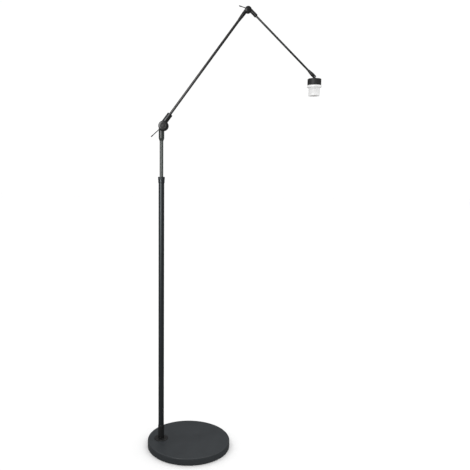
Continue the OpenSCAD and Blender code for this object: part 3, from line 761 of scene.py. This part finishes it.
def make_arms():
    mast_low, mast_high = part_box("upper_tube")
    tube_piece("mast_tube", "upper_tube", MAST_R, MAST_BORE, mast_low.z / MM, mast_high.z / MM, AT_POLE,
               "mast", mast_coat)
    tube_piece("arm1_tube", "lower_arm_tube", ARM1_R, ARM1_BORE, LOW_DISC_R + 2, ARM1_LEN - HIGH_DISC_R - 2,
               AT_ARM1 @ shift(-ARM1_OFF, 0, 0), "lower_arm", arm_coat, segments=56)
    tube_piece("arm2_tube", "upper_arm_tube", ARM2_R, ARM2_BORE, HIGH_DISC_R + 2, ARM2_LEN - 14,
               AT_ARM2 @ shift(-ARM2_OFF, 0, 0), "upper_arm", arm2_coat, segments=48, fillet=0.2)


# ---------- head ----------

# the fitting's heights are from the hinge: the cone's start, its full width, and the blunt end
FITTING_R = 6.0
CONE_START, CONE_FULL, FITTING_END = -30, -13.5, 3.2
SLOT_HALF, SLOT_FLOOR = 2.2, -5.2


def make_fitting():
    """The second arm's end: a cone growing to a blunt, slotted end about the head's hinge."""
    shape = lathe(
        [
            (0, CONE_START, 0),
            (4.1, CONE_START, 0.3),
            (FITTING_R, CONE_FULL, 8.0),
            (FITTING_R, FITTING_END, 1.2),
            (0, FITTING_END, 0),
        ],
        segments=72,
    )
    slot = new_bmesh()
    bmesh.ops.create_cube(slot, size=1)
    turn_bmesh(slot, Matrix.Diagonal((24, 2 * SLOT_HALF, 20, 1)))
    turn_bmesh(slot, Matrix.Translation((0, 0, 10 + SLOT_FLOOR)))
    pin_hole = cross(solid_rod(SCREW_HOLE_R, 0, 20), -10)
    head_seat = cross(solid_rod(2.85, 0, 6), -10)
    tube_hole = lathe(solid_rod(3.45, -32, -13.9))
    screw_hole = cross(solid_rod(SCREW_HOLE_R, 0, 10), 0)
    turn_bmesh(screw_hole, Matrix.Translation((0, 0, -17)))
    fitting = carve(shape, [slot, pin_hole, head_seat, tube_hole, screw_hole])
    piece("fitting_casting", fitting, AT_ARM2_END, "upper_arm", casting_black,
          ["head_fitting"], sharp=28)


cup_low, cup_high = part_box("head_cup")
CUP_TOP = (cup_high.z - head_pivot.z) / MM
CUP_LOW = (cup_low.z - head_pivot.z) / MM
CUP_R = (cup_high.x - cup_low.x) / 2 / MM
SKIRT_R = 19.0
SKIRT_BORE = 17.0
MOUTH_R = 15.0
LIP_H = 3.6
THREAD_PITCH = 2.0
THREAD_DEPTH = 0.28
RING_GRIPS = 24
NOTCH_DEPTH = 0.28
LUG_R, LUG_NECK, LUG_HALF = 4.0, 3.2, 2


def make_hinge():
    """A flat rounded lug with a pin hole, standing on a shoulder let into the cup."""
    bm = new_bmesh()
    arc = [math.radians(-10 + 200 * k / 24) for k in range(25)]
    outline = [(LUG_R * math.cos(a), LUG_R * math.sin(a)) for a in arc]
    outline += [(-LUG_NECK, -3.0), (-LUG_NECK, CUP_TOP - 0.4), (LUG_NECK, CUP_TOP - 0.4), (LUG_NECK, -3.0)]
    verts = [bm.verts.new((x, -LUG_HALF, z)) for x, z in outline]
    front = bm.faces.new(verts)
    extruded = bmesh.ops.extrude_face_region(bm, geom=[front])["geom"]
    moved = [v for v in extruded if isinstance(v, bmesh.types.BMVert)]
    bmesh.ops.translate(bm, verts=moved, vec=(0, 2 * LUG_HALF, 0))
    bmesh.ops.recalc_face_normals(bm, faces=bm.faces)
    rims = [e for e in bm.edges if abs(e.verts[0].co.y - e.verts[1].co.y) < 0.1]
    bmesh.ops.bevel(bm, geom=rims, offset=0.35, segments=3, affect="EDGES", profile=0.5)
    hole = cross(solid_rod(SCREW_HOLE_R, 0, 10), -5)
    lug = carve(bm, [hole])
    seat, top = CUP_TOP - 1.5, CUP_TOP + 0.05
    shoulder = lathe([(0, seat, 0), (6.5, seat, 0.1), (6.5, top, 0.35), (0, top, 0)])
    stub = lathe(pipe(4.95, 3.0, CUP_TOP - 13, CUP_TOP - 1.4, 0.3))
    hinge = merged([lug, shoulder, stub])
    piece("hinge_lug", hinge, AT_HEAD, "head", casting_black, ["head_hinge"], sharp=30)


def make_cup():
    wall = 1.6
    cup = lathe(
        [
            (6.6, CUP_TOP - 3, 0.1),
            (6.6, CUP_TOP, 0.2),
            (CUP_R, CUP_TOP, 2.0),
            (CUP_R, CUP_LOW, 0.45),
            (CUP_R - wall, CUP_LOW, 0.45),
            (CUP_R - wall, CUP_TOP - 3, 1.5),
        ],
        segments=128,
        steps=8,
    )
    piece("cup_spinning", cup, AT_HEAD, "head", cup_coat, ["head_cup"])


def make_lampholder():
    skirt_low = (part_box("holder_skirt")[0].z - head_pivot.z) / MM
    ring_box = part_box("shade_ring")
    ring_low = (ring_box[0].z - head_pivot.z) / MM
    ring_top = (ring_box[1].z - head_pivot.z) / MM
    ring_r = (ring_box[1].x - ring_box[0].x) / 2 / MM
    thread_low, thread_high = skirt_low + 6.0, ring_low + 0.6

    def threaded(r, z, angle):
        """A rounded thread on the outside, fading out at its two ends."""
        if r < SKIRT_R - 0.2 or not thread_low < z < thread_high:
            return r
        fade = min(1.0, (z - thread_low) / 1.5, (thread_high - z) / 0.5)
        turn = z / THREAD_PITCH - angle / (2 * math.pi)
        return r - THREAD_DEPTH * fade * (0.5 - 0.5 * math.cos(2 * math.pi * turn)) ** 1.5

    rows = round((thread_high - thread_low) / THREAD_PITCH * 12)
    threads = [(SKIRT_R, thread_low + (thread_high - thread_low) * k / rows, 0) for k in range(rows + 1)]
    skirt = lathe(
        [
            (MOUTH_R, skirt_low, 0.5),
            (SKIRT_R, skirt_low, 0.7),
            *threads,
            (SKIRT_R, ring_low + 0.9, 0),
            (SKIRT_R - 0.5, ring_top + 0.5, 0.1),
            (SKIRT_R - 0.5, CUP_TOP - 15.5, 0.1),
            (SKIRT_BORE, CUP_TOP - 15.5, 0.1),
            (SKIRT_BORE, skirt_low + LIP_H, 0.3),
            (MOUTH_R, skirt_low + LIP_H, 0.3),
        ],
        segments=120,
        steps=5,
        shape=threaded,
    )
    piece("threaded_skirt", skirt, AT_HEAD, "head", white_plastic, ["holder_skirt"])

    def notched(r, z, angle):
        """Small notches for the fingers, between the ring's plain edges."""
        if r < ring_r - 0.3 or not ring_low + 0.9 < z < ring_top - 0.5:
            return r
        return r - NOTCH_DEPTH * max(0.0, math.cos(RING_GRIPS * angle)) ** 6

    bands = [(ring_r, ring_low + 0.8 + (ring_top - ring_low - 1.3) * k / 8, 0) for k in range(9)]
    ring = lathe(
        [
            (SKIRT_R + 0.05, ring_low, 0.3),
            (ring_r, ring_low, 0.7),
            *bands,
            (ring_r, ring_top, 0.4),
            (SKIRT_R + 0.05, ring_top, 0.3),
        ],
        segments=RING_GRIPS * 12,
        steps=5,
        shape=notched,
    )
    piece("grip_ring", ring, AT_HEAD, "head", ring_plastic_painted_light, ["shade_ring"])


# ---------- CAD pieces that keep their shape ----------


def dress_cad_nodes():
    """Gives the CAD pieces that stay as they are the look of their slot."""
    slots = {part["node"]: part["material_slot"] for part in frame["record"]["subparts"]}
    for node, obj in frame["nodes"].items():
        look = cad_looks.get(slots[node])
        if look:
            obj.data.materials.clear()
            obj.data.materials.append(look)
            obj.data.shade_smooth()
            obj.data.set_sharp_from_angle(angle=math.radians(35))


# ---------- stage ----------

WALLS_SEEN = 1.02
WALLS_REFLECTED = 0.13
FLOOR_WHITE = 0.70


def make_stage():
    """A plain pale floor, kept out of reflections."""
    bpy.ops.mesh.primitive_plane_add(size=40, location=(0, 0, 0))
    floor = bpy.context.object
    floor.name = "floor"
    mat = bpy.data.materials.new("floor_white")
    mat.use_nodes = True
    shader = mat.node_tree.nodes["Principled BSDF"]
    shader.inputs["Base Color"].default_value = (FLOOR_WHITE, FLOOR_WHITE, FLOOR_WHITE, 1)
    shader.inputs["Roughness"].default_value = 0.9
    shader.inputs["Specular IOR Level"].default_value = 0.1
    floor.data.materials.append(mat)
    floor.visible_glossy = False


def softbox(name, place, aim, size, power):
    """A rectangular lamp behind a grid, which shows in highlights only."""
    lamp = bpy.data.lights.new(name, "AREA")
    lamp.spread = math.radians(70)
    lamp.shape = "RECTANGLE"
    lamp.size, lamp.size_y = size
    lamp.energy = power
    obj = bpy.data.objects.new(name, lamp)
    bpy.context.scene.collection.objects.link(obj)
    obj.location = place
    obj.visible_diffuse = False
    obj.rotation_mode = "QUATERNION"
    obj.rotation_quaternion = (Vector(aim) - Vector(place)).to_track_quat("-Z", "Y")


def make_light():
    """A white studio whose walls are bright to the eye and dim in reflections, a wide soft light from above, and
    a softbox at the front left, level with the arms."""
    world = bpy.data.worlds.new("studio")
    bpy.context.scene.world = world
    world.use_nodes = True
    tree = world.node_tree
    background = tree.nodes["Background"]
    background.inputs["Color"].default_value = (1, 1, 1, 1)
    ray = tree.nodes.new("ShaderNodeLightPath")
    dim = tree.nodes.new("ShaderNodeMapRange")
    dim.inputs["To Min"].default_value = WALLS_SEEN
    dim.inputs["To Max"].default_value = WALLS_REFLECTED
    link(tree, ray.outputs["Is Glossy Ray"], dim.inputs["Value"])
    link(tree, dim.outputs["Result"], background.inputs["Strength"])
    sky = bpy.data.lights.new("ceiling", "SUN")
    sky.energy = 1.5
    sky.angle = math.radians(100)
    bpy.context.scene.collection.objects.link(bpy.data.objects.new("ceiling", sky))
    softbox("key", place=(-1.25, -2.4, 1.75), aim=(0, 0, 1.35), size=(0.8, 1.5), power=13.5)
    bpy.context.scene.view_settings.view_transform = "Standard"


make_base()
make_pole()
make_knuckles()
make_levers()
make_arms()
make_fitting()
make_hinge()
make_cup()
make_lampholder()
dress_cad_nodes()
make_stage()
make_light()
